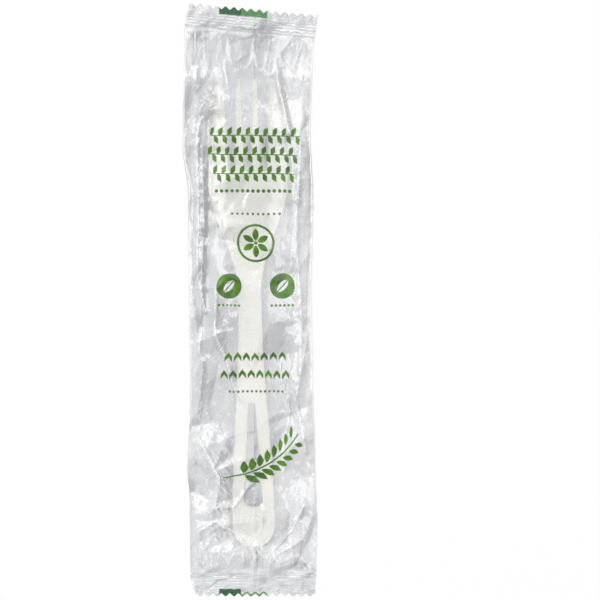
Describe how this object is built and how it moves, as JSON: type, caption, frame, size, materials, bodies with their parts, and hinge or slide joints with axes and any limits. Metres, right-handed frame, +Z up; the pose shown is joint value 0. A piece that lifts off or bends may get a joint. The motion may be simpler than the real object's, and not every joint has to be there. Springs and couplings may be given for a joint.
{
  "type": "plastic cutlery pack",
  "caption": "Moulded plastic fork with a slotted handle, sealed in a flat clear film wrapper with crimped saw-cut ends and green print.",
  "frame": {"origin": "middle of the pack's footprint, on the table that its back lies on", "axes": "+Y along the pack from the fork's handle to its tines, +Z up through the printed front film, +X to the right as the front is read"},
  "size_m": [0.0466, 0.2036, 0.0136],
  "materials": {
    "ivory_bioplastic": "satin",
    "clear_film": "glossy"
  },
  "bodies": {
    "root": {"fork": "ivory_bioplastic", "wrapper": "clear_film"}
  },
  "joints": []
}
